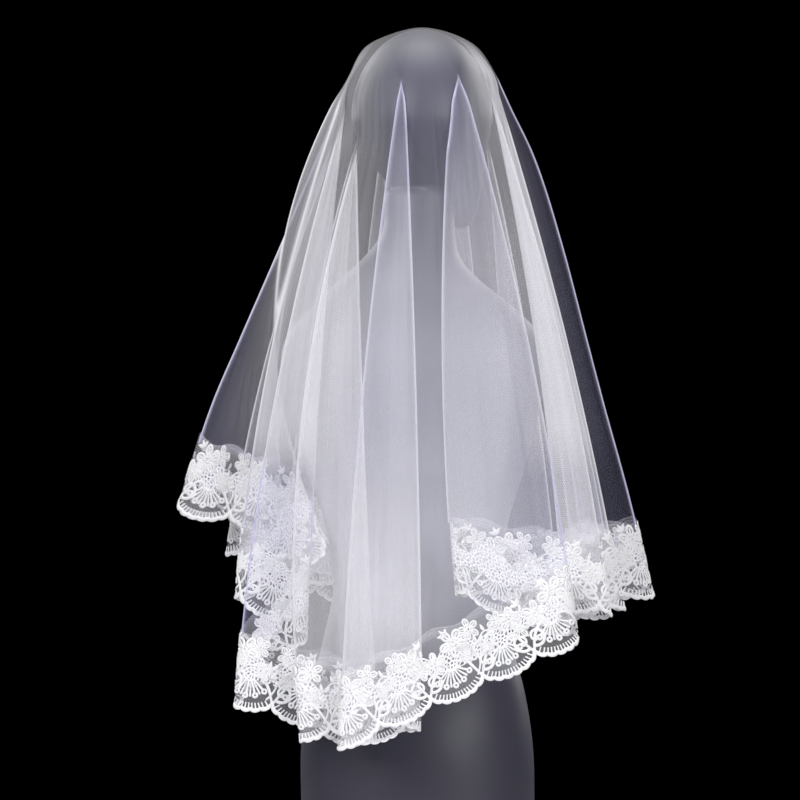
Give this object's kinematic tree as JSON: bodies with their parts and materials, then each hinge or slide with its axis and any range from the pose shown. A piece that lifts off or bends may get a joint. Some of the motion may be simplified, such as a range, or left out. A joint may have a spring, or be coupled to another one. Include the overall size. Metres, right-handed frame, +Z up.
{
  "type": "bridal veil on limbless display form",
  "caption": "Sheer net drop veil with a scalloped lace edge, hanging in folds from the head of a smooth limbless display form that stands on its flat foot.",
  "frame": {"origin": "on the floor, under the middle of the veil's plan", "axes": "+Z up, +Y the way the display form faces, so the pictured back of the veil is towards -Y"},
  "size_m": [0.573, 0.4426, 1.0005],
  "materials": {
    "tulle_net": "sheer soft net",
    "lace_white": "corded embroidery on net",
    "form_paint": "satin painted, dark slate grey"
  },
  "bodies": {
    "root": {"tulle": "tulle_net", "lace_edging": "lace_white", "display_form": "form_paint"}
  },
  "joints": []
}
